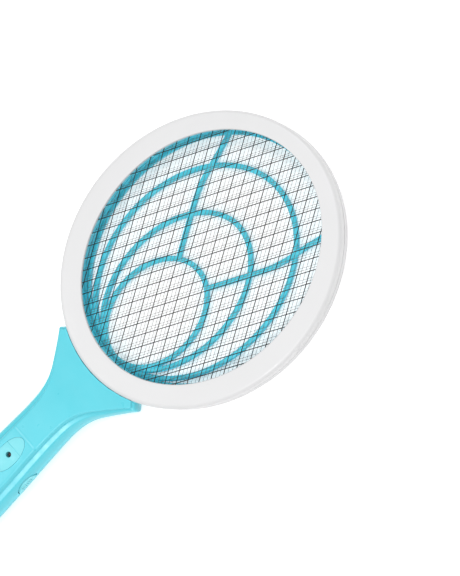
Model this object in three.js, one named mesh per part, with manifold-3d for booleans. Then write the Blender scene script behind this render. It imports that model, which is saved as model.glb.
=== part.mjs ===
// Electric fly swatter: an oval head with three wire nets on a slim battery handle.
// Millimetres. +Y runs along the handle towards the head, +X is the width, +Z comes out of the front.
// The swatter lies on its back on z = 0, with the origin under the middle of its bounding box.
import * as THREE from 'three';
import { mergeVertices } from 'three/addons/utils/BufferGeometryUtils.js';
import Module from 'manifold-3d';

const wasm = await Module();
wasm.setup();

// Whole swatter
const LENGTH = 500;
const SEAM_Z = 10;
const SEAM_GAP = 0.15;
const GAP = 0.35;

// Head
const HEAD = { x: 105, y: 121, cy: LENGTH / 2 - 121 };
const OPENING = { x: 87, y: 105, cy: HEAD.cy + 2.5 };
const RING_HEIGHT = 20;
const FLANGE = 2.4;
const RIM_WIDTH = 4;
const RING_STEPS = 44;
const RING_SCREWS = 8;
const SCREW_BAND = 0.57;
const BOSS_RADIUS = 2.9;
const HEAD_SOCKET = 3;
const HEAD_GAP = 0.4;

// Nets, from the front one backwards
const NET_THICKNESS = 1;
const NET_PITCH = 29;
const STRAND_ANGLE = THREE.MathUtils.degToRad(29.4);
const FRONT_NET_Z = 16.3;
const CENTRE_NET_Z = 10.6;
const REAR_NET_Z = 4.9;
const STACK_GAP = 0.3;

// Rear guard: one moulding of a hoop, three loops and two arms
const GUARD_Z = 1.2;
const GUARD_TOP = 4.6;
const RIB = 4.2;
const GUARD_HOOP = 1.5;
const LOOPS = [{ x: 70.5, top: 209 }, { x: 48.5, top: 167 }, { x: 35.5, top: 121 }];
const ARM = [[58, 219], [52, 197], [44, 167], [29, 138], [16, 115]];

// Handle stations: place along Y, half width, height of the underside and of the front face
const WALL = 2;
const EDGE_INSET = 22;
const GRIP_HEIGHT = 27;
const STATIONS = [
  [-250, 12, 5, 20],
  [-248.5, 17, 2.2, 24],
  [-244, 21, 0.6, 26.2],
  [-236, 23.2, 0, 27],
  [-200, 24, 0, 27],
  [-150, 24, 0, 27],
  [-100, 23, 0, 27],
  [-70, 21.8, 0, 27],
  [-45, 21, 0, 26],
  [-30, 22, 0, 25],
  [-17, 26, 0, 23.6],
  [-5, 33.5, 0, 21.2],
  [8, 42.8, 0, 18.8],
  [12.5, 46.2, 0.1, 18.2],
  [18, 41.2, 0.3, 17.8],
  [23, 36.6, 0.4, 17.6],
];
// Half section of the handle: share of the half width, and share of the height from the seam
const SECTION = [
  [0.56, 1], [0.62, 0.96], [0.665, 0.75], [0.79, 0.62], [0.91, 0.43], [0.98, 0.2],
  [1, 0], [0.98, -0.35], [0.9, -0.75], [0.76, -1],
];

// Controls
const LED = { y: -82, r: 1.5, top: 25.4, hole: 2.3 };
const POWER = { y: -82, x: 8.5, length: 17, top: 27.9, lip: 1.4, steps: 28 };
const SIDE = { y: -91, length: 10, height: 5.8, proud: 1.2 };
const SWITCH_Y = -92;
const SWITCH_HALF = 3.2;
const SWITCH_WELL = 1.9;
const STEM = 3;

// Circuit board
const BOARD = { x: 17, y0: -150, y1: -58, z0: 11.2, z1: 12.8 };
const PART_Z = BOARD.z1 + 0.3;
const LEAD_RADIUS = 0.8;

// Battery bay
const CELL = { x: 7.5, z: 14.4, r: 7.15, length: 49, y0: -233 };
const SPRING = { wide: 4.6, narrow: 2.6, height: 4.2, turns: 3, wire: 0.4 };
const DOOR_Y = -170;
const DOOR_TOP = 5.7;
const CATCHES = [[-226, -217], [-190, -181]];
const CATCH = { rib: 17.6, ribOut: 19.4, lipOut: 20.5, ledgeIn: 19.9, ledgeOut: 22.4, top: 9.1 };

// Fasteners
const SCREW = { r: 1.3, head: 2.6, foot: 0.9, neck: 2.7, length: 15.5 };
const POST_RADIUS = 3.6;
const YOKE_SCREW = { x: 28, y: -1 };
const GRIP_SCREW = { x: 15, y: -159 };
const TONGUE = { x: 25, y0: 2, y1: 18, z0: 5.5 };

const COLOURS = {
  white: { color: 0xeeeeee, roughness: 0.35, metalness: 0 },
  teal: { color: 0x6be0ec, roughness: 0.4, metalness: 0 },
  wire: { color: 0x3c3c3e, roughness: 0.35, metalness: 1 },
  steel: { color: 0xb8babd, roughness: 0.3, metalness: 1 },
  hoop: { color: 0xd8d8d4, roughness: 0.6, metalness: 0 },
  board: { color: 0x2f7d43, roughness: 0.5, metalness: 0 },
  dark: { color: 0x26272a, roughness: 0.5, metalness: 0 },
  copper: { color: 0xb5652b, roughness: 0.4, metalness: 1 },
  film: { color: 0x8c2f22, roughness: 0.4, metalness: 0 },
  lens: { color: 0xb0261f, roughness: 0.2, metalness: 0 },
  cell: { color: 0x4d5a66, roughness: 0.4, metalness: 0.3 },
  red: { color: 0xb32020, roughness: 0.5, metalness: 0 },
};

const group = new THREE.Group();

// ---- geometry helpers ----

function toSolid(geometry) {
  const bare = geometry.clone();
  bare.deleteAttribute('normal');
  bare.deleteAttribute('uv');
  const merged = mergeVertices(bare, 1e-4);
  const vertProperties = new Float32Array(merged.attributes.position.array);
  const triVerts = new Uint32Array(merged.index.array);
  return new wasm.Manifold(new wasm.Mesh({ numProp: 3, vertProperties, triVerts }));
}

function toGeometry(solid) {
  const mesh = solid.getMesh();
  const geometry = new THREE.BufferGeometry();
  geometry.setAttribute('position', new THREE.BufferAttribute(mesh.vertProperties, 3));
  geometry.setIndex(new THREE.BufferAttribute(mesh.triVerts, 1));
  geometry.computeVertexNormals();
  return geometry;
}

function join(first, ...others) {
  return others.reduce((sum, other) => sum.add(other), first);
}

function cut(first, ...others) {
  return others.reduce((rest, other) => rest.subtract(other), first);
}

function add(name, solid, finish) {
  const mesh = new THREE.Mesh(toGeometry(solid), new THREE.MeshStandardMaterial(COLOURS[finish]));
  mesh.name = name;
  group.add(mesh);
  return mesh;
}

function box(x0, x1, y0, y1, z0, z1) {
  const geometry = new THREE.BoxGeometry(x1 - x0, y1 - y0, z1 - z0);
  return toSolid(geometry.translate((x0 + x1) / 2, (y0 + y1) / 2, (z0 + z1) / 2));
}

function cylinder(r, z0, z1, x, y, sides = 16) {
  const geometry = new THREE.CylinderGeometry(r, r, z1 - z0, sides).rotateX(Math.PI / 2);
  return toSolid(geometry.translate(x, y, (z0 + z1) / 2));
}

function grown(oval, by) {
  return { x: oval.x + by, y: oval.y + by, cy: oval.cy };
}

function onOval(oval, angle) {
  return new THREE.Vector2(oval.x * Math.cos(angle), oval.cy + oval.y * Math.sin(angle));
}

function ovalOutline(oval, steps) {
  return Array.from({ length: steps }, (_, i) => onOval(oval, (2 * Math.PI * i) / steps));
}

function plate(outline, z0, z1, hole) {
  const shape = new THREE.Shape(outline);
  if (hole) {
    shape.holes.push(new THREE.Path(hole));
  }
  const geometry = new THREE.ExtrudeGeometry(shape, { depth: z1 - z0, bevelEnabled: false });
  return toSolid(geometry.translate(0, 0, z0));
}

function ovalPlate(oval, z0, z1, steps = RING_STEPS) {
  return plate(ovalOutline(oval, steps), z0, z1);
}

function hoop(outer, inner, z0, z1, steps = RING_STEPS) {
  return plate(ovalOutline(outer, steps), z0, z1, ovalOutline(inner, steps));
}

// A closed grid of points: rows of equal length, joined in order. A loop joins its last row to its first.
function skin(rows, loop) {
  const width = rows[0].length;
  const points = rows.flat();
  const index = [];
  const bands = loop ? rows.length : rows.length - 1;
  for (let i = 0; i < bands; i += 1) {
    const here = i * width;
    const next = ((i + 1) % rows.length) * width;
    for (let j = 0; j < width; j += 1) {
      const k = (j + 1) % width;
      index.push(here + j, next + k, next + j, here + j, here + k, next + k);
    }
  }
  if (!loop) {
    const last = (rows.length - 1) * width;
    for (let j = 1; j < width - 1; j += 1) {
      index.push(0, j + 1, j, last, last + j, last + j + 1);
    }
  }
  const geometry = new THREE.BufferGeometry().setFromPoints(points);
  geometry.setIndex(index);
  return toSolid(geometry);
}

// Round bar along a smooth path
function rod(path, r, steps, sides = 6) {
  const shape = new THREE.Shape(ovalOutline({ x: r, y: r, cy: 0 }, sides));
  const curve = new THREE.CatmullRomCurve3(path.map((p) => new THREE.Vector3(...p)));
  return toSolid(new THREE.ExtrudeGeometry(shape, { steps, extrudePath: curve, bevelEnabled: false }));
}

function turned(profile, x, y, sides = 12) {
  const outline = profile.map((p) => new THREE.Vector2(...p));
  return toSolid(new THREE.LatheGeometry(outline, sides).rotateX(Math.PI / 2).translate(x, y, 0));
}

// ---- head ----

// Ring moulding swept round the head. Its section is in shares of the band, from the opening outwards.
function ringMoulding(section) {
  const rows = [];
  for (let i = 0; i < RING_STEPS; i += 1) {
    const angle = (2 * Math.PI * i) / RING_STEPS;
    const inner = onOval(OPENING, angle);
    const outer = onOval(HEAD, angle);
    rows.push(section.map(([share, z]) => {
      const p = inner.clone().lerp(outer, share);
      return new THREE.Vector3(p.x, p.y, z);
    }));
  }
  return skin(rows, true);
}

function ringScrewPlaces() {
  return Array.from({ length: RING_SCREWS }, (_, i) => {
    const angle = (2 * Math.PI * (i + 0.5)) / RING_SCREWS;
    return onOval(OPENING, angle).lerp(onOval(HEAD, angle), SCREW_BAND);
  });
}

function frontRing() {
  const z = SEAM_Z + SEAM_GAP;
  const under = RING_HEIGHT - FLANGE;
  let ring = ringMoulding([
    [0, under], [0, 19.3], [0.05, RING_HEIGHT], [0.8, RING_HEIGHT], [0.92, 19.3], [0.98, 18], [1, 16.4],
    [1, z], [0.87, z], [0.86, under],
  ]);
  for (const p of ringScrewPlaces()) {
    ring = join(ring, cylinder(BOSS_RADIUS, z, under + 0.5, p.x, p.y, 10));
    ring = cut(ring, cylinder(SCREW.r + GAP, z - 1, 16, p.x, p.y, 8));
  }
  return cut(ring, box(-8, 8, 0, 14, z - 1, 14));
}

function rearRing() {
  const z = SEAM_Z - SEAM_GAP;
  let ring = ringMoulding([
    [0, FLANGE], [0.86, FLANGE], [0.87, z], [1, z], [1, 3.6], [0.98, 2], [0.92, 0.7], [0.8, 0], [0.05, 0],
    [0, 0.7],
  ]);
  for (const p of ringScrewPlaces()) {
    ring = join(ring, cylinder(3.4, 0.9, 4.2, p.x, p.y, 10), cylinder(BOSS_RADIUS, 4, z, p.x, p.y, 10));
    ring = cut(ring, cylinder(SCREW.r + GAP, 0, z + 1, p.x, p.y, 8));
    ring = cut(ring, cylinder(SCREW.head + GAP, -1, 3, p.x, p.y, 10));
  }
  return cut(ring, box(-TONGUE.x - GAP, TONGUE.x + GAP, 0, 17, TONGUE.z0 - GAP, z + 1));
}

// Wire net: two families of crossing strands inside an oval rim
function net(z, shift) {
  const rimOuter = grown(OPENING, RIM_WIDTH);
  const reach = rimOuter.y + 10;
  let strands = hoop(rimOuter, grown(OPENING, 1.2), z, z + NET_THICKNESS);
  const limit = ovalPlate(grown(OPENING, 2), z - 1, z + 2);
  const count = Math.ceil(reach / NET_PITCH);
  let grid = null;
  for (const side of [-1, 1]) {
    const turn = new THREE.Matrix4().makeRotationZ(side * STRAND_ANGLE);
    for (let i = -count; i <= count; i += 1) {
      const x = (i + shift) * NET_PITCH;
      const half = NET_THICKNESS / 2;
      const bar = new THREE.BoxGeometry(NET_THICKNESS, 2 * reach, NET_THICKNESS).translate(x, 0, half);
      const strand = toSolid(bar.applyMatrix4(turn).translate(0, OPENING.cy, z));
      grid = grid ? grid.add(strand) : strand;
    }
  }
  strands = strands.add(grid.intersect(limit));
  return strands;
}

function loopOval(loop) {
  const foot = OPENING.cy - OPENING.y;
  const half = (loop.top - foot) / 2;
  return { x: loop.x, y: half, cy: foot + half };
}

function guardArm(side) {
  const curve = new THREE.SplineCurve(ARM.map(([x, y]) => new THREE.Vector2(side * x, y)));
  const steps = 12;
  const left = [];
  const right = [];
  for (let i = 0; i <= steps; i += 1) {
    const p = curve.getPoint(i / steps);
    const t = curve.getTangent(i / steps);
    const half = RIB / 2;
    left.push(new THREE.Vector2(p.x - t.y * half, p.y + t.x * half));
    right.push(new THREE.Vector2(p.x + t.y * half, p.y - t.x * half));
  }
  return plate(left.concat(right.reverse()), GUARD_Z, GUARD_TOP);
}

function rearGuard() {
  const inner = grown(OPENING, -GUARD_HOOP);
  let ribs = join(hoop(OPENING, inner, GUARD_Z, GUARD_TOP), guardArm(-1), guardArm(1));
  for (const loop of LOOPS) {
    const middle = loopOval(loop);
    ribs = join(ribs, hoop(grown(middle, RIB / 2), grown(middle, -RIB / 2), GUARD_Z, GUARD_TOP, 30));
  }
  ribs = ribs.intersect(ovalPlate(grown(OPENING, -GAP), 0, RING_HEIGHT));
  return join(ribs, hoop(grown(OPENING, RIM_WIDTH), inner, FLANGE + STACK_GAP, GUARD_TOP));
}

function makeHead() {
  add('front_ring', frontRing(), 'white');
  add('rear_ring', rearRing(), 'white');
  add('front_net', net(FRONT_NET_Z, 0), 'wire');
  add('centre_net', net(CENTRE_NET_Z, 0.33), 'wire');
  add('rear_net', net(REAR_NET_Z, 0.5), 'wire');
  add('rear_guard', rearGuard(), 'teal');
  const outer = grown(OPENING, RIM_WIDTH);
  const inner = grown(OPENING, 0.8);
  const frontFoot = CENTRE_NET_Z + NET_THICKNESS + STACK_GAP;
  add('front_spacer', hoop(outer, inner, frontFoot, FRONT_NET_Z - STACK_GAP), 'teal');
  const rearFoot = REAR_NET_Z + NET_THICKNESS + STACK_GAP;
  add('rear_spacer', hoop(outer, inner, rearFoot, CENTRE_NET_Z - STACK_GAP), 'teal');
}

// ---- handle ----

// Handle body at a distance inside (or, when negative, outside) its outer surface
function handleBody(inset) {
  const rows = STATIONS.map(([y, halfWidth, low, high], i) => {
    const bottom = low + inset;
    const top = high - inset;
    const scale = EDGE_INSET * ((high - low) / GRIP_HEIGHT) ** 2;
    const half = SECTION.map(([share, lift]) => {
      const x = halfWidth - inset - (1 - share) * scale;
      const z = lift > 0 ? SEAM_Z + lift * (top - SEAM_Z) : SEAM_Z + lift * (SEAM_Z - bottom);
      return [x, z];
    });
    const ends = { 0: inset, [STATIONS.length - 1]: -inset };
    const place = y + (ends[i] ?? (y < -240 ? inset * 0.9 : 0));
    const right = half.map(([x, z]) => new THREE.Vector3(x, place, z));
    const left = half.map(([x, z]) => new THREE.Vector3(-x, place, z)).reverse();
    return right.concat(left);
  });
  return skin(rows, false);
}

function headClearance(by) {
  return ovalPlate(grown(HEAD, by), -5, 40, 72);
}

function halfSpace(z0, z1, y0 = -260, y1 = 40) {
  return box(-70, 70, y0, y1, z0, z1);
}

function post(place, z0, z1) {
  return cylinder(POST_RADIUS, z0, z1, place.x, place.y, 10);
}

function bothSides(place) {
  return [{ x: -place.x, y: place.y }, { x: place.x, y: place.y }];
}

function handleScrewPlaces() {
  return [...bothSides(YOKE_SCREW), ...bothSides(GRIP_SCREW)];
}

function powerOval(by) {
  return { x: POWER.x + by, y: POWER.length + by, cy: POWER.y };
}

// Half-moon prism along X, its flat side on the seam side and its arc towards the front
function sideMoon(x0, x1, by) {
  const floor = SEAM_Z + 0.8 - by;
  const outline = [];
  const steps = 12;
  for (let i = 0; i <= steps; i += 1) {
    const angle = (Math.PI * i) / steps;
    const y = (SIDE.length + by) * Math.cos(angle);
    const z = (SIDE.height + 2 * by) * Math.sin(angle);
    outline.push(new THREE.Vector2(y, z));
  }
  const shape = new THREE.Shape(outline);
  const prism = new THREE.ExtrudeGeometry(shape, { depth: x1 - x0, bevelEnabled: false });
  const toSide = new THREE.Matrix4().makeBasis(
    new THREE.Vector3(0, 1, 0), new THREE.Vector3(0, 0, 1), new THREE.Vector3(1, 0, 0),
  );
  return toSolid(prism.applyMatrix4(toSide).translate(x0, SIDE.y, floor));
}

function frontShell() {
  const z = SEAM_Z + SEAM_GAP;
  const cavity = cut(handleBody(WALL), headClearance(HEAD_SOCKET));
  let shell = cut(handleBody(0).intersect(halfSpace(z, 40)), cavity, headClearance(HEAD_GAP));
  for (const place of handleScrewPlaces()) {
    shell = join(shell, post(place, z, GRIP_HEIGHT).intersect(handleBody(WALL / 2)));
    shell = cut(shell, cylinder(SCREW.r + GAP, z - 1, SCREW.length + GAP, place.x, place.y, 8));
  }
  shell = cut(shell, ovalPlate(powerOval(GAP), 20, 40, POWER.steps));
  shell = cut(shell, sideMoon(14, 40, GAP));
  return cut(shell, box(-8, 8, -6, 20, z - 1, 14));
}

function rearShell() {
  const z = SEAM_Z - SEAM_GAP;
  const cavity = cut(handleBody(WALL), headClearance(HEAD_SOCKET));
  let shell = cut(handleBody(0).intersect(halfSpace(-1, z)), cavity, headClearance(HEAD_GAP));
  shell = cut(shell, halfSpace(-2, DOOR_TOP + 0.3, -260, DOOR_Y));
  for (const place of handleScrewPlaces()) {
    shell = join(shell, post(place, 1, z));
    shell = cut(shell, cylinder(SCREW.r + GAP, -1, z + 1, place.x, place.y, 8));
    shell = cut(shell, cylinder(SCREW.head + GAP, -1, 3, place.x, place.y, 10));
  }
  for (const [y0, y1] of CATCHES) {
    for (const side of [-1, 1]) {
      const xs = [side * CATCH.ledgeIn, side * CATCH.ledgeOut].sort((a, b) => a - b);
      shell = join(shell, box(xs[0], xs[1], y0, y1, DOOR_TOP + 0.5, 7.2));
    }
  }
  return join(shell, box(-TONGUE.x, TONGUE.x, TONGUE.y0, TONGUE.y1, TONGUE.z0, z - 0.1));
}

function batteryDoor() {
  const outer = handleBody(0).intersect(halfSpace(-1, DOOR_TOP, -260, DOOR_Y - 0.3));
  let door = cut(outer, handleBody(WALL).intersect(halfSpace(-1, 40, -260, DOOR_Y - 2.3)));
  for (const [y0, y1] of CATCHES) {
    for (const side of [-1, 1]) {
      const rib = [side * CATCH.rib, side * CATCH.ribOut].sort((a, b) => a - b);
      const lip = [side * CATCH.rib, side * CATCH.lipOut].sort((a, b) => a - b);
      const wall = box(rib[0], rib[1], y0, y1, 1, CATCH.top);
      door = join(door, wall, box(lip[0], lip[1], y0, y1, 7.7, CATCH.top));
    }
  }
  return door;
}

function powerButton() {
  const cap = ovalPlate(powerOval(0), 23.5, POWER.top, POWER.steps);
  const flange = ovalPlate(powerOval(POWER.lip), 22.2, 24.5, POWER.steps);
  const stem = box(-STEM / 2, STEM / 2, SWITCH_Y - STEM / 2, SWITCH_Y + STEM / 2, 18.6, 23);
  return cut(join(cap, flange, stem), cylinder(LED.hole, 15, 40, 0, LED.y, 12));
}

function sideButton() {
  const face = sideMoon(15.5, 40, 0).intersect(handleBody(-SIDE.proud));
  const flange = box(15, 16.6, SIDE.y - SIDE.length - 1, SIDE.y + SIDE.length + 1, 13.2, 18);
  const stem = box(13.4, 15.6, SIDE.y - STEM / 2, SIDE.y + STEM / 2, 14, 17);
  return join(face, flange, stem);
}

function makeHandle() {
  add('handle_front_shell', frontShell(), 'teal');
  add('handle_rear_shell', rearShell(), 'teal');
  add('battery_door', batteryDoor(), 'teal');
  add('power_button', powerButton(), 'teal');
  add('side_button', sideButton(), 'teal');
}

// ---- electronics ----

function makeSwitches() {
  const half = SWITCH_HALF;
  const well = SWITCH_WELL;
  const body = box(-half, half, SWITCH_Y - half, SWITCH_Y + half, PART_Z, 16.8);
  add('power_switch', cut(body, box(-well, well, SWITCH_Y - well, SWITCH_Y + well, 14.4, 20)), 'dark');
  const pin = STEM / 2;
  add('power_switch_plunger', box(-pin, pin, SWITCH_Y - pin, SWITCH_Y + pin, 16.2, 18.3), 'hoop');
  const sideBody = box(6, 12, SIDE.y - half, SIDE.y + half, PART_Z, 18);
  add('side_switch', cut(sideBody, box(9, 14, SIDE.y - well, SIDE.y + well, 13.7, 17.3)), 'dark');
  add('side_switch_plunger', box(11, 13.1, SIDE.y - pin, SIDE.y + pin, 14, 17), 'hoop');
}

function makeTransformer() {
  const y = -118;
  const core = box(-8, 8, y - 7, y + 7, PART_Z, 24);
  add('transformer_core', cut(core, box(-9, 9, y - 4.6, y + 4.6, PART_Z + 2.2, 21.8)), 'dark');
  add('transformer_winding', box(-6.5, 6.5, y - 4.2, y + 4.2, PART_Z + 2.6, 21.4), 'copper');
}

function makeBoardParts() {
  let board = box(-BOARD.x, BOARD.x, BOARD.y0, BOARD.y1, BOARD.z0, BOARD.z1);
  const room = SIDE.length + 3;
  board = cut(board, box(12.5, BOARD.x + 1, SIDE.y - room, SIDE.y + room, 10, 14));
  add('circuit_board', board, 'board');
  const foot = PART_Z;
  const dome = [[LED.r, LED.top - 1.2], [LED.r * 0.7, LED.top - 0.3], [0, LED.top]];
  add('indicator_led', turned([[0, foot], [LED.r, foot], ...dome], 0, LED.y), 'lens');
  add('output_capacitor', box(-14, -4, -71, -64, foot, 19.2), 'film');
  add('filter_capacitor', box(4, 14, -71, -64, foot, 18), 'film');
  add('transistor', cylinder(2.4, foot, 18.5, -11, -104, 8), 'dark');
  for (let i = 0; i < 3; i += 1) {
    const x = -13 + i * 3.6;
    add(`diode_${i + 1}`, box(x - 1.2, x + 1.2, -95, -89, foot, foot + 2.4), 'dark');
  }
  for (let i = 0; i < 2; i += 1) {
    const y = -105 + i * 4;
    add(`resistor_${i + 1}`, box(6, 13, y - 1.1, y + 1.1, foot, foot + 2.2), 'hoop');
  }
}

function makeLeads() {
  const netPath = [[7, BOARD.y1 + 0.5, 12], [5, -40, 13], [5, -15, 12.6], [4.5, 8, 12], [4, 20.6, 11.5]];
  const cellPath = [[8, -177.4, 17], [8, -170, 16.6], [8, -160, 13], [8, BOARD.y0 - 0.5, 12]];
  const onSide = (path, side) => path.map(([x, y, z]) => [side * x, y, z]);
  add('centre_net_lead', rod(onSide(netPath, -1), LEAD_RADIUS, 12), 'red');
  add('outer_net_lead', rod(onSide(netPath, 1), LEAD_RADIUS, 12), 'dark');
  add('battery_lead_positive', rod(onSide(cellPath, -1), LEAD_RADIUS, 8), 'red');
  add('battery_lead_negative', rod(onSide(cellPath, 1), LEAD_RADIUS, 8), 'dark');
}

function cellSolid(x, nubUp) {
  const from = CELL.y0;
  const to = CELL.y0 + CELL.length;
  const shoulder = CELL.length - 1.2;
  const nub = [[2.6, shoulder], [2.6, CELL.length], [0, CELL.length]];
  const profile = [[0, 0], [CELL.r, 0], [CELL.r, shoulder], ...nub];
  const outline = profile.map((p) => new THREE.Vector2(...p));
  const geometry = new THREE.LatheGeometry(outline, 20);
  if (nubUp) {
    geometry.translate(x, from, CELL.z);
  } else {
    geometry.rotateX(Math.PI).translate(x, to, CELL.z);
  }
  return toSolid(geometry);
}

// Conical contact spring along Y, its wide end on the plate
function contactSpring(x, plateY, towards) {
  const steps = SPRING.turns * 10;
  const path = [];
  for (let i = 0; i <= steps; i += 1) {
    const share = i / steps;
    const angle = 2 * Math.PI * SPRING.turns * share;
    const r = SPRING.wide - (SPRING.wide - SPRING.narrow) * share;
    const y = plateY + towards * SPRING.height * share;
    path.push([x + r * Math.cos(angle), y, CELL.z + r * Math.sin(angle)]);
  }
  return rod(path, SPRING.wire, steps, 5);
}

function makeBattery() {
  add('battery_1', cellSolid(-CELL.x, true), 'cell');
  add('battery_2', cellSolid(CELL.x, false), 'cell');
  const rearPlate = CELL.y0 - 6.2;
  const frontPlate = CELL.y0 + CELL.length + 5.6;
  add('bridge_contact', box(-14, 14, rearPlate, rearPlate + 0.6, 9.5, 19.5), 'steel');
  add('bridge_spring', contactSpring(-CELL.x, rearPlate + 1.4, 1), 'steel');
  add('negative_contact', box(2, 14, frontPlate, frontPlate + 0.6, 9.5, 19), 'steel');
  add('negative_spring', contactSpring(CELL.x, frontPlate - 0.8, -1), 'steel');
  const nearNub = CELL.y0 + CELL.length + 0.3;
  const tab = box(-14, -2, frontPlate, frontPlate + 0.6, 9.5, 19);
  const reach = box(-CELL.x - 2.5, -CELL.x + 2.5, nearNub, frontPlate + 0.3, 12, 16.8);
  add('positive_contact', join(tab, reach), 'steel');
}

// ---- fasteners ----

function screw(x, y) {
  const { foot, neck, length } = SCREW;
  const head = [[0, foot], [SCREW.head, foot], [SCREW.head, neck]];
  const profile = [...head, [SCREW.r, neck], [SCREW.r, length - 1], [0, length]];
  return turned(profile, x, y, 8);
}

function makeScrews() {
  ringScrewPlaces().forEach((p, i) => add(`ring_screw_${i + 1}`, screw(p.x, p.y), 'steel'));
  handleScrewPlaces().forEach((p, i) => add(`handle_screw_${i + 1}`, screw(p.x, p.y), 'steel'));
}

makeHead();
makeHandle();
makeSwitches();
makeTransformer();
makeBoardParts();
makeLeads();
makeBattery();
makeScrews();

export default group;
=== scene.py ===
# Looks of the electric fly swatter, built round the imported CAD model.
# Lengths are in millimetres until a mesh is made, and then they become metres.
# The camera and the lights are placed in metres.
import math

import bmesh
import bpy
from mathutils import Matrix, Vector


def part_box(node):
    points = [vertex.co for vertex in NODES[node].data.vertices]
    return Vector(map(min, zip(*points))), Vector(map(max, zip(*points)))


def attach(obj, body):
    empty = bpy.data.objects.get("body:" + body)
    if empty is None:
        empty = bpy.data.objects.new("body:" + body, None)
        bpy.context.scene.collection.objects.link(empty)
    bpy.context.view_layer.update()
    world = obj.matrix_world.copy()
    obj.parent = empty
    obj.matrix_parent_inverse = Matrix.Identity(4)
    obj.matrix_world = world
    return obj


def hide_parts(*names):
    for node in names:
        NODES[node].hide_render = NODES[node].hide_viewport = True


MM = 0.001
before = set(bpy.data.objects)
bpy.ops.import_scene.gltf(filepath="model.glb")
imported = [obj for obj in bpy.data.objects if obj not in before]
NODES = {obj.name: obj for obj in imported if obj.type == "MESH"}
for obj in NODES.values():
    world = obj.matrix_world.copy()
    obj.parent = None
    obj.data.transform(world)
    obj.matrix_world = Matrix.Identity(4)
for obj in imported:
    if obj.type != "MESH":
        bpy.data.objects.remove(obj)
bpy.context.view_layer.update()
ROOT = "handle_and_head"


def node_box(name):
    low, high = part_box(name)
    return low / MM, high / MM


# ---- sizes taken from the imported parts ----

RING_LOW, RING_HIGH = node_box("front_ring")
NET_LOW, NET_HIGH = node_box("front_net")
RIM = 4.0
HEAD = (RING_HIGH.x, (RING_HIGH.y - RING_LOW.y) / 2, (RING_HIGH.y + RING_LOW.y) / 2)
OPENING = (NET_HIGH.x - RIM, (NET_HIGH.y - NET_LOW.y) / 2 - RIM, (NET_HIGH.y + NET_LOW.y) / 2)
RING_TOP = RING_HIGH.z
SEAM = 10.0
SEAM_GAP = 0.15
GAP = 0.35
FLANGE = 2.4
HANDLE_END = node_box("handle_rear_shell")[0].y

# Handle stations: place along Y, half width, underside, front face
STATIONS = [
    (-250, 22.6, 0.0, 27.0),
    (-236, 23.2, 0.0, 27.0),
    (-200, 24.0, 0.0, 27.0),
    (-150, 24.0, 0.0, 27.0),
    (-100, 23.0, 0.0, 27.0),
    (-70, 21.8, 0.0, 26.9),
    (-45, 21.0, 0.0, 26.0),
    (-30, 22.0, 0.0, 25.0),
    (-17, 26.0, 0.0, 23.6),
    (-5, 33.5, 0.0, 21.2),
    (8, 42.8, 0.0, 18.8),
    (11.6, 45.7, 0.1, 18.3),
    (12.9, 46.2, 0.1, 18.2),
    (14, 45.0, 0.2, 18.1),
    (18, 41.2, 0.3, 17.8),
    (23, 36.6, 0.4, 17.6),
]
WALL = 2.0
END_ROUND = 13.0
NECK_Y = -45.0
FULL_HEIGHT = 27.0
PANEL_Y = -63.5
PANEL_DEPTH = 0.7
PANEL_RUN = 2.8
FACE_LIFT = 0.9
# Half sections: inset from the widest line, and share of the height from the seam.
# The front one has a shoulder, a facet, a step and the flat face.
FRONT_SECTION = [
    (0, 0), (0.5, 0.21), (1.1, 0.35), (1.8, 0.45), (2.6, 0.535), (3.3, 0.597), (3.9, 0.633), (4.2, 0.640),
    (5.6, 0.6735), (7.0, 0.707), (7.3, 0.716), (7.6, 0.75), (7.9, 0.81), (8.4, 0.905), (8.9, 0.962),
    (9.6, 0.99), (10.4, 1.0), (11.6, 1.0),
]
REAR_SECTION = [(0, 0), (0.2, 0.35), (1.2, 0.7), (3.0, 0.92), (5.6, 1.0), (8.0, 1.0)]

# Buttons
POWER_Y = (node_box("power_button")[0].y + node_box("power_button")[1].y) / 2
POWER = (8.5, 17.0, POWER_Y)
POWER_TOP = 27.2
POWER_GAP = 0.22
LIP = 1.4
LIP_LOW = 22.2
LIP_TOP = 24.4
LED_HOLE = 2.3
SIDE_HEIGHT = 5.8
SIDE_Y = (node_box("side_button")[0].y + node_box("side_button")[1].y) / 2
SIDE_GAP = 1.2
RIDGE_FOOT = 22.6
HALF_STEM = 1.5

# Battery door, its catches (the stem and lip as reach and foot) and the ledges that hold them
DOOR_Y = -170.0
DOOR_TOP = 5.7
CATCHES = [(-226.0, -217.0), (-190.0, -181.0)]
CATCH_IN = 17.6
CATCH_STEM = (19.4, 1.0)
CATCH_LIP = (20.5, 7.7)
CATCH_TOP = 9.1
LEDGE_IN = 19.9
LEDGE_OUT = 22.4
LEDGE_TOP = 7.2

# Tongue of the rear shell inside the rear ring, and the way through for the leads
TONGUE_X = 25.0
TONGUE_LOW = 5.5
LEAD_WAY = 8.0

# Screws
POST_RADIUS = 3.6
WELL_RADIUS = 2.95
WELL_DEPTH = 2.2
SHANK_RADIUS = 1.3
SHANK_TOP = 15.0

# Nets
NET_PITCH = 8.7
STRAND_ANGLE = math.radians(29.4)
FRONT_WIRE_RADIUS = 0.36
INNER_WIRE_RADIUS = 0.15

CREASE = 32

# Guard: loops as (half width, top), arms as a hand of points on the right side
RIB = 4.2
GUARD_HOOP = 1.5
LOOPS = [(70.5, 209.0), (48.5, 167.0), (35.5, 121.0)]
ARM = [(58, 219), (52, 197), (44, 167), (29, 138), (16, 115)]


# ---- mesh helpers ----

def finish_mesh(obj, angle=35.0):
    mesh = obj.data
    work = bmesh.new()
    work.from_mesh(mesh)
    bmesh.ops.remove_doubles(work, verts=work.verts, dist=1e-7)
    bmesh.ops.recalc_face_normals(work, faces=work.faces)
    work.to_mesh(mesh)
    work.free()
    mesh.shade_smooth()
    mesh.set_sharp_from_angle(angle=math.radians(angle))
    return obj


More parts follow.
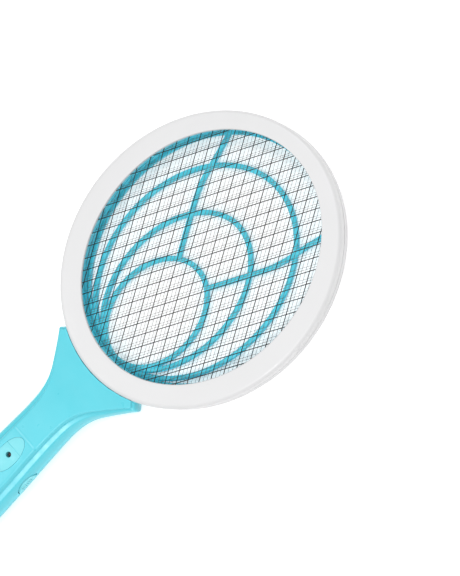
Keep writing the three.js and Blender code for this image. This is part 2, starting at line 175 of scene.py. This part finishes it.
def new_object(name, points, faces, angle=35.0):
    mesh = bpy.data.meshes.new(name)
    mesh.from_pydata([Vector(p) * MM for p in points], [], faces)
    obj = bpy.data.objects.new(name, mesh)
    bpy.context.scene.collection.objects.link(obj)
    return finish_mesh(obj, angle)


def grid(rows, loop_rows=False, loop_columns=True, caps=False):
    """Points and faces of a sheet or tube through rows of equal length."""
    width = len(rows[0])
    points = [p for row in rows for p in row]
    faces = []
    row_steps = len(rows) if loop_rows else len(rows) - 1
    column_steps = width if loop_columns else width - 1
    for i in range(row_steps):
        here = i * width
        there = (i + 1) % len(rows) * width
        for j in range(column_steps):
            k = (j + 1) % width
            faces.append((here + j, here + k, there + k, there + j))
    if caps:
        faces.append(tuple(range(width)))
        faces.append(tuple(range((len(rows) - 1) * width, len(rows) * width)))
    return points, faces


def merged(parts):
    """Joins several (points, faces) pairs into one."""
    points, faces = [], []
    for part_points, part_faces in parts:
        start = len(points)
        points += part_points
        faces += [tuple(i + start for i in face) for face in part_faces]
    return points, faces


def apply_modifiers(obj):
    graph = bpy.context.evaluated_depsgraph_get()
    mesh = bpy.data.meshes.new_from_object(obj.evaluated_get(graph))
    obj.modifiers.clear()
    obj.data = mesh


def carve(obj, cutter, operation="DIFFERENCE"):
    modifier = obj.modifiers.new("carve", "BOOLEAN")
    modifier.operation = operation
    modifier.solver = "EXACT"
    modifier.object = cutter
    apply_modifiers(obj)
    bpy.data.objects.remove(cutter)


def soften(obj, width):
    modifier = obj.modifiers.new("soften", "BEVEL")
    modifier.width = width * MM
    modifier.segments = 3
    modifier.limit_method = "ANGLE"
    modifier.angle_limit = math.radians(50)
    apply_modifiers(obj)


def on_oval(oval, angle, grow=0.0):
    return (
        (oval[0] + grow) * math.cos(angle),
        oval[2] + (oval[1] + grow) * math.sin(angle),
    )


def turn(i, steps):
    return 2 * math.pi * i / steps


def upright(outline, low, high):
    """Points and faces of a prism that stands on an outline."""
    return grid([[(x, y, z) for x, y in outline] for z in (low, high)], caps=True)


def prism(name, outline, low, high):
    return new_object(name, *upright(outline, low, high))


def oval_prism(name, oval, grow, low, high, steps=72):
    return prism(name, [on_oval(oval, turn(i, steps), grow) for i in range(steps)], low, high)


def corners(x0, y0, x1, y1):
    return [(x0, y0), (x1, y0), (x1, y1), (x0, y1)]


def block(name, low, high):
    return prism(name, corners(*low[:2], *high[:2]), low[2], high[2])


def bars(name, places, x0, x1, low, high, width):
    """Cross bars at several places along Y, as one mesh, to cut grooves with."""
    parts = [upright(corners(x0, y - width / 2, x1, y + width / 2), low, high) for y in places]
    return new_object(name, *merged(parts))


def place(obj, material, body=ROOT, replaces=()):
    obj.data.materials.clear()
    obj.data.materials.append(material)
    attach(obj, body)
    if replaces:
        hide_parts(*replaces)
    return obj


# ---- materials ----

def base_material(name):
    material = bpy.data.materials.new(name)
    material.use_nodes = True
    tree = material.node_tree
    return material, tree, tree.nodes["Principled BSDF"]


def noise(tree, scale, detail=3.0, stretch=(1, 1, 1)):
    coordinates = tree.nodes.new("ShaderNodeTexCoord")
    mapping = tree.nodes.new("ShaderNodeMapping")
    mapping.inputs["Scale"].default_value = stretch
    texture = tree.nodes.new("ShaderNodeTexNoise")
    texture.inputs["Scale"].default_value = scale
    texture.inputs["Detail"].default_value = detail
    tree.links.new(coordinates.outputs["Object"], mapping.inputs["Vector"])
    tree.links.new(mapping.outputs["Vector"], texture.inputs["Vector"])
    return texture.outputs["Fac"]


def ramp(tree, value, stops):
    node = tree.nodes.new("ShaderNodeValToRGB")
    elements = node.color_ramp.elements
    while len(elements) < len(stops):
        elements.new(0.5)
    for element, (position, colour) in zip(elements, stops):
        element.position = position
        element.color = (*colour, 1)
    tree.links.new(value, node.inputs["Fac"])
    return node.outputs["Color"]


def spread(tree, value, low, high):
    node = tree.nodes.new("ShaderNodeMapRange")
    node.inputs["From Min"].default_value = 0.3
    node.inputs["From Max"].default_value = 0.7
    node.inputs["To Min"].default_value = low
    node.inputs["To Max"].default_value = high
    tree.links.new(value, node.inputs["Value"])
    return node.outputs["Result"]


def bump(tree, shader, value, strength, depth):
    node = tree.nodes.new("ShaderNodeBump")
    node.inputs["Strength"].default_value = strength
    node.inputs["Distance"].default_value = depth
    tree.links.new(value, node.inputs["Height"])
    tree.links.new(node.outputs["Normal"], shader.inputs["Normal"])


def shade(colour, factor):
    return tuple(min(1.0, c * factor) for c in colour)


def plastic(name, colour, roughness=0.35, grain=0.25, mottle=0.05, coat=0.0, edge=1.06):
    """Moulded plastic: faint colour drift, scuffed gloss, fine grain, and paler convex edges, partly wear
    and partly a painted highlight.
    """
    material, tree, shader = base_material(name)
    drift = noise(tree, 22.0, 4.0)
    body = ramp(tree, drift, [(0.3, shade(colour, 1 - mottle)), (0.7, shade(colour, 1 + mottle))])
    geometry = tree.nodes.new("ShaderNodeNewGeometry")
    # Convex edges are mixed towards a paler colour: wear at the small default, and a painted highlight where
    # edge is raised.
    wear_and_highlight = ramp(tree, geometry.outputs["Pointiness"], [(0.53, (0, 0, 0)), (0.62, (1, 1, 1))])
    mix = tree.nodes.new("ShaderNodeMix")
    mix.data_type = "RGBA"
    tree.links.new(wear_and_highlight, mix.inputs["Factor"])
    tree.links.new(body, mix.inputs["A"])
    mix.inputs["B"].default_value = (*shade(colour, edge), 1)
    tree.links.new(mix.outputs["Result"], shader.inputs["Base Color"])
    gloss = noise(tree, 130.0, 5.0)
    tree.links.new(spread(tree, gloss, roughness - 0.05, roughness + 0.07), shader.inputs["Roughness"])
    bump(tree, shader, noise(tree, 2600.0, 2.0), grain, 0.00006)
    shader.inputs["Coat Weight"].default_value = coat
    return material


def metal(name, colour, roughness=0.3, stretch=(1, 1, 1), scale=500.0, stain=0.15):
    """Bare metal: fine drawing or brushing marks and a little staining."""
    material, tree, shader = base_material(name)
    marks = noise(tree, scale, 4.0, stretch)
    tone = ramp(tree, marks, [(0.3, shade(colour, 1 - stain)), (0.7, shade(colour, 1 + stain))])
    tree.links.new(tone, shader.inputs["Base Color"])
    tree.links.new(spread(tree, marks, roughness - 0.07, roughness + 0.12), shader.inputs["Roughness"])
    shader.inputs["Metallic"].default_value = 1.0
    bump(tree, shader, marks, 0.2, 0.00004)
    return material


def wound(name, colour):
    """Enamelled copper winding: fine turns side by side along X, with painted shade between the turns."""
    material, tree, shader = base_material(name)
    coordinates = tree.nodes.new("ShaderNodeTexCoord")
    wave = tree.nodes.new("ShaderNodeTexWave")
    wave.bands_direction = "X"
    wave.inputs["Scale"].default_value = 900.0
    wave.inputs["Distortion"].default_value = 0.6
    tree.links.new(coordinates.outputs["Object"], wave.inputs["Vector"])
    # The grooves between the turns are darkened: painted shade.
    tone = ramp(tree, wave.outputs["Fac"], [(0.1, shade(colour, 0.5)), (0.8, colour)])
    tree.links.new(tone, shader.inputs["Base Color"])
    shader.inputs["Metallic"].default_value = 0.8
    shader.inputs["Roughness"].default_value = 0.35
    bump(tree, shader, wave.outputs["Fac"], 0.6, 0.0001)
    return material


WHITE = plastic("white_plastic", (0.665, 0.665, 0.67), 0.38, 0.2, 0.012)
# The teal's edges are made much paler than the other plastics: a painted highlight along the handle's face
# edge and its other convex edges.
TEAL = plastic("teal_plastic", (0.10, 0.58, 0.68), 0.32, 0.2, 0.03, edge=1.25)
TEAL_PALE = plastic("teal_plastic_pale", (0.19, 0.66, 0.73), 0.34, 0.2, 0.03)
GUARD_TEAL = plastic("guard_plastic", (0.08, 0.67, 0.83), 0.32, 0.2, 0.04)
SPACER = plastic("spacer_plastic", (0.82, 0.82, 0.81), 0.55, 0.4, 0.03)
DARK = plastic("dark_plastic", (0.03, 0.03, 0.033), 0.5, 0.5, 0.2)
FERRITE = plastic("ferrite", (0.06, 0.06, 0.065), 0.6, 0.9, 0.25)
BOARD = plastic("board_laminate", (0.03, 0.19, 0.07), 0.32, 0.5, 0.18)
LENS = plastic("led_lens", (0.035, 0.004, 0.005), 0.12, 0.05, 0.1, coat=0.6)
FILM = plastic("film_capacitor", (0.28, 0.05, 0.03), 0.3, 0.6, 0.12)
SLEEVE = plastic("cell_sleeve", (0.10, 0.14, 0.19), 0.28, 0.2, 0.15, coat=0.3)
RED = plastic("red_insulation", (0.45, 0.02, 0.02), 0.5, 0.4, 0.1)
BLACK = plastic("black_insulation", (0.02, 0.02, 0.02), 0.5, 0.4, 0.2)
FRONT_WIRE = metal("front_net_wire", (0.05, 0.045, 0.045), 0.45)
INNER_WIRE = metal("inner_net_wire", (0.22, 0.20, 0.20), 0.45)
CONTACT = metal("contact_steel", (0.62, 0.62, 0.63), 0.28, (1, 1, 12))
SCREW_STEEL = metal("screw_steel", (0.55, 0.55, 0.57), 0.3, (1, 1, 1), 1500.0)
COPPER = wound("copper_wire", (0.60, 0.24, 0.09))


# ---- head ----

def ring(name, section):
    """Ring moulding: its section runs in shares of the band, from the opening outwards."""
    steps = 180
    rows = []
    for i in range(steps):
        inner = Vector(on_oval(OPENING, turn(i, steps)))
        outer = Vector(on_oval(HEAD, turn(i, steps)))
        row = []
        for share, z in section:
            x, y = inner.lerp(outer, share)
            row.append((x, y, z))
        rows.append(row)
    return new_object(name, *grid(rows, loop_rows=True), angle=50.0)


def rounded_edge(share, z_face, z_side, steps=10):
    """Quarter oval from the flat face, at a share of the band, out to the side wall."""
    points = []
    for i in range(steps + 1):
        a = math.pi / 2 * i / steps
        points.append((share + (1 - share) * math.sin(a), z_side + (z_face - z_side) * math.cos(a)))
    return points


def node_places(prefix, count):
    places = []
    for i in range(1, count + 1):
        low, high = node_box(f"{prefix}_{i}")
        places.append(((low.x + high.x) / 2, (low.y + high.y) / 2))
    return places


def studs(name, places, radius, low, high, steps=24):
    """Upright cylinders at several places, as one mesh."""
    parts = []
    for x, y in places:
        outline = [(x + radius * math.cos(turn(i, steps)), y + radius * math.sin(turn(i, steps)))
                   for i in range(steps)]
        parts.append(upright(outline, low, high))
    return new_object(name, *merged(parts))


def carve_screw_wells(obj, places):
    carve(obj, studs("wells", places, WELL_RADIUS, -1, WELL_DEPTH))
    carve(obj, studs("shank_holes", places, SHANK_RADIUS + 0.1, -1, 6))
    return finish_mesh(obj, 40)


def make_rings():
    seam = SEAM + SEAM_GAP
    inside = RING_TOP - FLANGE
    front = [(0.0, inside), (0.0, RING_TOP - 0.8), (0.012, RING_TOP - 0.3), (0.035, RING_TOP - 0.06)]
    front += [(0.06, RING_TOP), (0.3, RING_TOP)] + rounded_edge(0.8, RING_TOP, 16.6)
    front += [(1.0, seam + 0.7), (0.96, seam + 0.1), (0.87, seam + 0.1), (0.86, inside)]
    rear = [(share, 2 * SEAM - z) for share, z in front]
    face = ring("head_front_ring", front)
    carve(face, block("lead_notch", (-LEAD_WAY, 0, SEAM - 1), (LEAD_WAY, 14, 14)))
    place(finish_mesh(face, 50), WHITE, replaces=["front_ring"])
    back = ring("head_rear_ring", rear)
    notch_x = TONGUE_X + GAP
    carve(back, block("tongue_notch", (-notch_x, 0, TONGUE_LOW - GAP), (notch_x, 17, SEAM + 1)))
    carve_screw_wells(back, node_places("ring_screw", 8))
    place(back, WHITE, replaces=["rear_ring"])


def strand(start, end, z, radius, sides=6):
    """Straight round wire between two points of one net."""
    along = (end - start).normalized()
    across = Vector((-along.y, along.x))
    rows = []
    for point in (start, end):
        row = []
        for i in range(sides):
            a = turn(i, sides)
            side = point + across * radius * math.cos(a)
            row.append((side.x, side.y, z + radius * math.sin(a)))
        rows.append(row)
    return grid(rows, caps=True)


def oval_chord(oval, through, along):
    """Where a line meets an oval, as two points, or None."""
    px, py = through.x / oval[0], (through.y - oval[2]) / oval[1]
    dx, dy = along.x / oval[0], along.y / oval[1]
    a = dx * dx + dy * dy
    b = px * dx + py * dy
    c = px * px + py * py - 1
    inside = b * b - a * c
    if inside <= 0:
        return None
    root = math.sqrt(inside)
    return through + along * ((-b - root) / a), through + along * ((-b + root) / a)


def hoop_tube(oval, radius, z, steps=120, sides=8):
    """Round wire bent into an oval."""
    rows = []
    for i in range(steps):
        x, y = on_oval(oval, turn(i, steps))
        away = Vector((math.cos(turn(i, steps)), math.sin(turn(i, steps))))
        row = []
        for j in range(sides):
            reach = radius * math.cos(turn(j, sides))
            row.append((x + away.x * reach, y + away.y * reach, z + radius * math.sin(turn(j, sides))))
        rows.append(row)
    return grid(rows, loop_rows=True)


def make_net(node, shifts, radius, material):
    """Welded wire net at its full pitch: two families of strands, one lying on the other."""
    low, high = node_box(node)
    middle = (low.z + high.z) / 2
    rim = (OPENING[0] + 2.2, OPENING[1] + 2.2, OPENING[2])
    parts = [hoop_tube(rim, 0.45, middle)]
    count = math.ceil(rim[1] / NET_PITCH) + 1
    for side, shift in zip((-1, 1), shifts):
        angle = math.pi / 2 + side * STRAND_ANGLE
        along = Vector((math.cos(angle), math.sin(angle)))
        across = Vector((-along.y, along.x))
        for i in range(-count, count + 1):
            through = Vector((0, OPENING[2])) + across * ((i + shift) * NET_PITCH)
            ends = oval_chord(rim, through, along)
            if ends:
                parts.append(strand(ends[0], ends[1], middle + side * radius * 0.85, radius))
    net = new_object(f"{node}_wires", *merged(parts), angle=60)
    place(net, material, replaces=[node])


def rib_section(width, low, high, steps=5):
    """Rib across its run: square foot, well rounded top."""
    half = width / 2
    r = min(half * 0.8, (high - low) * 0.45)
    points = [(half, low + 0.2), (half - 0.2, low), (-half + 0.2, low), (-half, low + 0.2)]
    for i in range(steps + 1):
        a = math.pi - math.pi / 2 * i / steps
        points.append((-half + r + r * math.cos(a), high - r + r * math.sin(a)))
    for i in range(steps + 1):
        a = math.pi / 2 - math.pi / 2 * i / steps
        points.append((half - r + r * math.cos(a), high - r + r * math.sin(a)))
    return points


def keep_inside(x, y, oval):
    """Pulls a point that lies outside an oval back onto it."""
    reach = math.hypot(x / oval[0], (y - oval[2]) / oval[1])
    if reach <= 1:
        return x, y
    return x / reach, oval[2] + (y - oval[2]) / reach


def swept_rib(path, section, closed, limit):
    rows = []
    count = len(path)
    for i, (x, y) in enumerate(path):
        before = path[(i - 1) % count] if closed or i else path[0]
        after = path[(i + 1) % count] if closed or i < count - 1 else path[-1]
        along = Vector((after[0] - before[0], after[1] - before[1])).normalized()
        row = []
        for offset, z in section:
            px, py = keep_inside(x - along.y * offset, y + along.x * offset, limit)
            row.append((px, py, z))
        rows.append(row)
    return grid(rows, loop_rows=closed, caps=not closed)


def between(p, q, r, s, t):
    """Catmull-Rom value at a share t of the way from q to r."""
    square = (2 * p - 5 * q + 4 * r - s) * t ** 2
    cube = (3 * q - p - 3 * r + s) * t ** 3
    return 0.5 * (2 * q + (r - p) * t + square + cube)


def smooth_path(points, steps=8):
    """Curve through a few points."""
    ends = [points[0]] + list(points) + [points[-1]]
    path = []
    for a, b, c, d in zip(ends, ends[1:], ends[2:], ends[3:]):
        for i in range(steps):
            t = i / steps
            path.append(tuple(between(*values, t) for values in zip(a, b, c, d)))
    return path + [tuple(points[-1])]


def make_guard():
    low, high = node_box("rear_guard")
    layer = 0.03
    sections = [rib_section(RIB, low.z + layer * i, high.z - layer * i) for i in range(5)]
    limit = (OPENING[0] - 0.3, OPENING[1] - 0.3, OPENING[2])
    foot = OPENING[2] - OPENING[1]
    steps = 120
    parts = []
    for (half, top), section in zip(LOOPS, sections):
        oval = (half, (top - foot) / 2, (top + foot) / 2)
        path = [on_oval(oval, turn(i, steps)) for i in range(steps)]
        parts.append(swept_rib(path, section, True, limit))
    for side, section in zip((-1, 1), sections[3:]):
        path = smooth_path([(side * x, y) for x, y in ARM])
        parts.append(swept_rib(path, section, False, limit))
    wide = (OPENING[0] + RIM, OPENING[1] + RIM, OPENING[2])
    for outer, foot_z in ((RIM, FLANGE + 0.3), (-0.3, low.z + 5 * layer)):
        path = [on_oval(OPENING, turn(i, steps), (outer - GUARD_HOOP) / 2) for i in range(steps)]
        section = rib_section(outer + GUARD_HOOP, foot_z, high.z - 5 * layer - foot_z * layer)
        parts.append(swept_rib(path, section, True, wide))
    guard = new_object("guard_moulding", *merged(parts), angle=45)
    place(guard, GUARD_TEAL, replaces=["rear_guard"])


# ---- handle ----

def along_handle(y, column):
    """Smooth value of one column of the handle stations."""
    if y <= STATIONS[0][0]:
        return STATIONS[0][column]
    for i in range(len(STATIONS) - 1):
        if y <= STATIONS[i + 1][0]:
            break
    a, b = STATIONS[i], STATIONS[i + 1]
    before = STATIONS[max(i - 1, 0)]
    after = STATIONS[min(i + 2, len(STATIONS) - 1)]
    span = b[0] - a[0]
    t = min((y - a[0]) / span, 1.0)
    slope_a = (b[column] - before[column]) / (b[0] - before[0]) * span
    slope_b = (after[column] - a[column]) / (after[0] - a[0]) * span
    return (
        (2 * t ** 3 - 3 * t ** 2 + 1) * a[column] + (t ** 3 - 2 * t ** 2 + t) * slope_a
        + (3 * t ** 2 - 2 * t ** 3) * b[column] + (t ** 3 - t ** 2) * slope_b
    )


def step_down(y):
    """How far the face lies lower past the panel line, fading back to nothing in the yoke."""
    t = min(max((y - PANEL_Y) / PANEL_RUN + 0.5, 0.0), 1.0)
    fade = min(max((-20 - y) / 30, 0.0), 1.0)
    return PANEL_DEPTH * t * t * (3 - 2 * t) * fade


def contact_y(x):
    """Where the yoke ends against the head."""
    clear = 0.15
    reach = min(abs(x) / (HEAD[0] + clear), 0.999)
    return HEAD[2] - (HEAD[1] + clear) * math.sqrt(1 - reach * reach)


def sheet_point(y, inset, lift, share, wall, up):
    """One point of the handle's sheet: the edge part by its inset, the flat part by its share."""
    outside = HANDLE_END + wall
    rounding = END_ROUND - wall
    k = min(max((y - outside) / rounding, 0.0), 1.0)
    swell = (1 - (1 - k) ** 2.4) ** (1 / 2.4)
    top = along_handle(y, 3) - wall
    low = max(along_handle(y, 2), 0.0) + wall
    half = (along_handle(y, 1) - wall) * (0.62 + 0.38 * swell)
    scale = ((along_handle(y, 3) - along_handle(y, 2)) / FULL_HEIGHT) ** 2
    section = FRONT_SECTION if up else REAR_SECTION
    edge = section[-1][0] * scale
    x = half - inset * scale if share is None else (half - edge) * share
    if up:
        near_face = min(max((lift - FACE_LIFT) / (1 - FACE_LIFT), 0.0), 1.0)
        z = SEAM + SEAM_GAP + lift * (top - SEAM - SEAM_GAP) * swell - step_down(y) * near_face
    else:
        z = SEAM - SEAM_GAP - lift * (SEAM - SEAM_GAP - low) * swell
    return x, z


def sheet_row(y, t, wall, up):
    """A row across the handle at y, or in the yoke at a share t of the way to the head."""
    section = FRONT_SECTION if up else REAR_SECTION
    spots = [(inset, lift, None) for inset, lift in section] + [(0, 1.0, s) for s in (0.75, 0.5, 0.25, 0.0)]
    half_row = []
    for inset, lift, share in spots:
        place_y = y
        x, z = sheet_point(place_y, inset, lift, share, wall, up)
        if t is not None:
            for _ in range(8):
                place_y = NECK_Y + t * (contact_y(x) - NECK_Y)
                x, z = sheet_point(place_y, inset, lift, share, wall, up)
        half_row.append((x, place_y, z))
    return half_row + [(-x, b, z) for x, b, z in reversed(half_row[:-1])]


def handle_places():
    """Places of the rows: (y, None) on the grip, then (y, t) through the yoke."""
    end_steps = 10
    places = [(HANDLE_END + END_ROUND * (1 - math.cos(math.pi / 2 * i / end_steps)), None)
              for i in range(end_steps + 1)]
    y = places[-1][0]
    while y < NECK_Y - 1:
        y += 0.25 if abs(y - PANEL_Y) < 2.0 else 4.0
        places.append((min(y, NECK_Y), None))
    yoke_steps = 44
    return places + [(NECK_Y, (i + 1) / yoke_steps) for i in range(yoke_steps)]


def inner_place(y):
    """Inner sheet: the same rows, moved in from the handle's end by the wall."""
    reach = y - HANDLE_END
    if reach >= END_ROUND:
        return y
    return HANDLE_END + WALL + reach * (END_ROUND - WALL) / END_ROUND


def shell(name, up):
    rows = []
    for y, t in handle_places():
        outer = sheet_row(y, t, 0.0, up)
        inner = sheet_row(inner_place(y), t, WALL, up)
        rows.append(outer + inner[::-1])
    width = len(rows[0])
    points, faces = grid(rows)
    for row in (0, len(rows) - 1):
        start = row * width
        for i in range(width // 2 - 1):
            faces.append((start + i, start + i + 1, start + width - 2 - i, start + width - 1 - i))
    return new_object(name, points, faces, angle=40)


def swollen_body(grow):
    """Solid handle, grown outwards, to shape a button's face."""
    rows = []
    for y, t in handle_places():
        top = sheet_row(y, t, -grow, True)
        bottom = sheet_row(y, t, -grow, False)
        rows.append(top + bottom[::-1])
    return new_object("swollen_body", *grid(rows[6:], caps=True))


def half_moon(name, grow, near, far, steps=40):
    """Prism along X, flat on the seam side, with its arc towards the front."""
    low, high = node_box("side_button")
    length = (high.y - low.y) / 2 - 1 + grow
    floor = SEAM + 0.8 - grow
    height = SIDE_HEIGHT + 2 * grow
    outline = []
    for i in range(steps + 1):
        a = math.pi * i / steps
        outline.append((SIDE_Y + length * math.cos(a), floor + height * math.sin(a)))
    rows = [[(x, y, z) for y, z in outline] for x in (near, far)]
    return new_object(name, *grid(rows, caps=True))


def posts(low, high):
    """Screw posts of the handle, kept inside its skin."""
    solid = studs("posts", node_places("handle_screw", 4), POST_RADIUS, low, high)
    carve(solid, swollen_body(-1.0), "INTERSECT")
    return solid


def make_front_shell():
    body = shell("grip_front_shell", True)
    carve(body, posts(SEAM + SEAM_GAP, FULL_HEIGHT), "UNION")
    places = node_places("handle_screw", 4)
    carve(body, studs("holes", places, SHANK_RADIUS + GAP, SEAM - 1, SHANK_TOP + 0.8))
    carve(body, oval_prism("hole", POWER, POWER_GAP, 20, 40))
    carve(body, half_moon("hole", SIDE_GAP, 12, 40))
    finish_mesh(body, CREASE)
    place(body, TEAL, replaces=["handle_front_shell"])


def make_rear_shell_and_door():
    body = shell("grip_rear_shell", False)
    carve(body, block("bay", (-60, -270, -2), (60, DOOR_Y, DOOR_TOP + 0.3)))
    carve(body, posts(1.0, SEAM - SEAM_GAP), "UNION")
    tongue = block("tongue", (-TONGUE_X, 2, TONGUE_LOW), (TONGUE_X, 18, SEAM - SEAM_GAP - 0.1))
    carve(body, tongue, "UNION")
    for near, far in CATCHES:
        for x0, x1 in ((-LEDGE_OUT, -LEDGE_IN), (LEDGE_IN, LEDGE_OUT)):
            carve(body, block("ledge", (x0, near, DOOR_TOP + 0.5), (x1, far, LEDGE_TOP)), "UNION")
    carve_screw_wells(body, node_places("handle_screw", 4))
    finish_mesh(body, CREASE)
    place(body, TEAL, replaces=["handle_rear_shell"])
    door = shell("bay_door", False)
    carve(door, block("bay", (-60, -270, -2), (60, DOOR_Y - 0.3, DOOR_TOP)), "INTERSECT")
    carve(door, bars("grooves", [DOOR_Y - 9 - 2.2 * i for i in range(6)], -9, 9, -1, 0.55, 0.9))
    for near, far in CATCHES:
        for side in (-1, 1):
            for reach, foot in (CATCH_STEM, CATCH_LIP):
                x0, x1 = sorted((side * CATCH_IN, side * reach))
                carve(door, block("catch", (x0, near, foot), (x1, far, CATCH_TOP)), "UNION")
    finish_mesh(door, CREASE)
    place(door, TEAL, "battery_door_body", ["battery_door"])


def make_power_button():
    low = node_box("power_button")[0]
    button = oval_prism("press_button", POWER, 0, 23.5, POWER_TOP, 96)
    carve(button, studs("led_hole", [(0, POWER_Y)], LED_HOLE, 0, 40, 32))
    carve(button, block("line", (-20, POWER_Y + 6.2, POWER_TOP - 0.35), (20, POWER_Y + 6.7, 40)))
    soften(button, 0.35)
    flange = oval_prism("flange", POWER, LIP, LIP_LOW, LIP_TOP)
    carve(flange, studs("led_hole", [(0, POWER_Y)], LED_HOLE + 0.1, 0, 40, 32))
    stem_y = node_box("power_switch")[0].y / 2 + node_box("power_switch")[1].y / 2
    near, far = stem_y - HALF_STEM, stem_y + HALF_STEM
    stem = block("stem", (-HALF_STEM, near, low.z), (HALF_STEM, far, LIP_LOW + 0.4))
    for part in (flange, stem):
        carve(button, part, "UNION")
    finish_mesh(button, CREASE)
    place(button, TEAL_PALE, "power_button_body", ["power_button"])


def make_side_button():
    button = half_moon("thumb_button", 0.0, 15.5, 40)
    carve(button, swollen_body(0.9), "INTERSECT")
    ridges = [SIDE_Y - 5 + 2 * i for i in range(6)]
    carve(button, bars("ridges", ridges, RIDGE_FOOT, 30, SEAM, SEAM + 5.5, 0.6))
    soften(button, 0.25)
    low, high = node_box("side_button")
    carve(button, block("flange", (15, low.y, 13.2), (16.6, high.y, 18)), "UNION")
    near, far = SIDE_Y - HALF_STEM, SIDE_Y + HALF_STEM
    carve(button, block("stem", (low.x, near, 14), (15.6, far, 17)), "UNION")
    finish_mesh(button, CREASE)
    place(button, TEAL_PALE, "side_button_body", ["side_button"])


# ---- fasteners and inner parts ----

def lathe(profile, steps=28):
    rows = [[(r * math.cos(turn(i, steps)), r * math.sin(turn(i, steps)), z) for i in range(steps)]
            for r, z in profile]
    return grid(rows, caps=True)


def make_screws():
    """Pan heads with a cross recess, one mesh copied to every screw's place."""
    head = [(0.4, 0.86), (1.3, 0.9), (2.1, 1.1), (2.5, 1.4), (2.6, 1.7), (2.55, 2.1)]
    thread = []
    for i in range(22):
        z = 2.2 + i * 0.55
        thread.append((SHANK_RADIUS if i % 2 else SHANK_RADIUS - 0.3, z))
    pattern = new_object("screw_pattern", *lathe(head + thread + [(0.2, SHANK_TOP)]))
    for half_x, half_y in ((1.4, 0.35), (0.35, 1.4)):
        carve(pattern, block("cross", (-half_x, -half_y, 0), (half_x, half_y, 1.7)))
    finish_mesh(pattern, 35)
    for prefix, count in (("ring_screw", 8), ("handle_screw", 4)):
        for i, (x, y) in enumerate(node_places(prefix, count)):
            mesh = pattern.data.copy()
            mesh.transform(Matrix.Translation(Vector((x, y, 0)) * MM) @ Matrix.Rotation(0.7 * i, 4, "Z"))
            copy = bpy.data.objects.new(f"{prefix}_head_{i + 1}", mesh)
            bpy.context.scene.collection.objects.link(copy)
            place(copy, SCREW_STEEL, replaces=[f"{prefix}_{i + 1}"])
    bpy.data.objects.remove(pattern)


def finish_nodes(names, material):
    for name in names:
        mesh = NODES[name].data
        mesh.materials.clear()
        mesh.materials.append(material)


def dress_inner_parts():
    finish_nodes(["front_spacer", "rear_spacer"], GUARD_TEAL)
    finish_nodes(["power_switch_plunger", "side_switch_plunger", "resistor_1", "resistor_2"], SPACER)
    finish_nodes(["power_switch", "side_switch", "transistor", "diode_1", "diode_2", "diode_3"], DARK)
    finish_nodes(["transformer_core"], FERRITE)
    finish_nodes(["transformer_winding"], COPPER)
    finish_nodes(["circuit_board"], BOARD)
    finish_nodes(["indicator_led"], LENS)
    finish_nodes(["output_capacitor", "filter_capacitor"], FILM)
    finish_nodes(["battery_1", "battery_2"], SLEEVE)
    finish_nodes(["centre_net_lead", "battery_lead_positive"], RED)
    finish_nodes(["outer_net_lead", "battery_lead_negative"], BLACK)
    contacts = ["bridge_contact", "bridge_spring", "negative_contact", "negative_spring", "positive_contact"]
    finish_nodes(contacts, CONTACT)


# ---- stage ----

CAMERA_TARGET = Vector((0.0287, 0.1288, 0.0))
CAMERA_AZIMUTH = math.radians(31.2)
CAMERA_ELEVATION = math.radians(69.8)
CAMERA_DISTANCE = 1.519
CAMERA_ROLL = math.radians(-43.5)
CAMERA_LENS = 125.0


def add_camera():
    away = Vector((
        math.cos(CAMERA_ELEVATION) * math.cos(CAMERA_AZIMUTH),
        math.cos(CAMERA_ELEVATION) * math.sin(CAMERA_AZIMUTH),
        math.sin(CAMERA_ELEVATION),
    ))
    level_up = (Vector((0, 1, 0)) - away * away.y).normalized()
    up = Matrix.Rotation(-CAMERA_ROLL, 3, away) @ level_up
    right = up.cross(away)
    data = bpy.data.cameras.new("camera")
    data.lens = CAMERA_LENS
    data.sensor_width = 36.0
    camera = bpy.data.objects.new("camera", data)
    turned = Matrix((right, up, away)).transposed().to_4x4()
    camera.matrix_world = Matrix.Translation(CAMERA_TARGET + away * CAMERA_DISTANCE) @ turned
    bpy.context.scene.collection.objects.link(camera)
    bpy.context.scene.camera = camera


def add_floor():
    size = 6000
    rows = [[(x, y, -0.1) for x in (-size, size)] for y in (-size, size)]
    floor = new_object("floor", *grid(rows, loop_columns=False))
    material, tree, shader = base_material("pale_floor")
    tone = ramp(tree, noise(tree, 3.0), [(0.3, (0.93, 0.93, 0.93)), (0.7, (0.95, 0.95, 0.95))])
    tree.links.new(tone, shader.inputs["Base Color"])
    shader.inputs["Roughness"].default_value = 0.9
    shader.inputs["Specular IOR Level"].default_value = 0.1
    shader.inputs["Emission Color"].default_value = (1, 1, 1, 1)
    shader.inputs["Emission Strength"].default_value = 0.25
    floor.data.materials.append(material)


def add_light(name, place_at, size, power):
    data = bpy.data.lights.new(name, "AREA")
    data.shape = "DISK"
    data.size = size
    data.energy = power
    light = bpy.data.objects.new(name, data)
    spot = Vector(place_at)
    light.matrix_world = Matrix.Translation(spot) @ spot.to_track_quat("Z", "Y").to_matrix().to_4x4()
    bpy.context.scene.collection.objects.link(light)


def add_lights():
    world = bpy.data.worlds.new("studio")
    bpy.context.scene.world = world
    world.use_nodes = True
    background = world.node_tree.nodes["Background"]
    background.inputs["Color"].default_value = (1, 1, 1, 1)
    background.inputs["Strength"].default_value = 0.5
    add_light("top", (0.15, 0.2, 2.0), 1.2, 6)
    add_light("sheen", (-0.80, -0.90, 1.87), 0.6, 6)
    add_light("step", (-0.6, 0.93, 1.67), 0.4, 10)
    add_light("rim", (0.89, -0.42, 1.79), 0.35, 14)
    bpy.context.scene.view_settings.view_transform = "Standard"


add_camera()
add_floor()
add_lights()
make_rings()
make_net("front_net", (0.0, 0.0), FRONT_WIRE_RADIUS, FRONT_WIRE)
make_net("centre_net", (0.33, 0.57), INNER_WIRE_RADIUS, INNER_WIRE)
make_net("rear_net", (0.66, 0.14), INNER_WIRE_RADIUS, INNER_WIRE)
make_guard()
make_front_shell()
make_rear_shell_and_door()
make_power_button()
make_side_button()
make_screws()
dress_inner_parts()
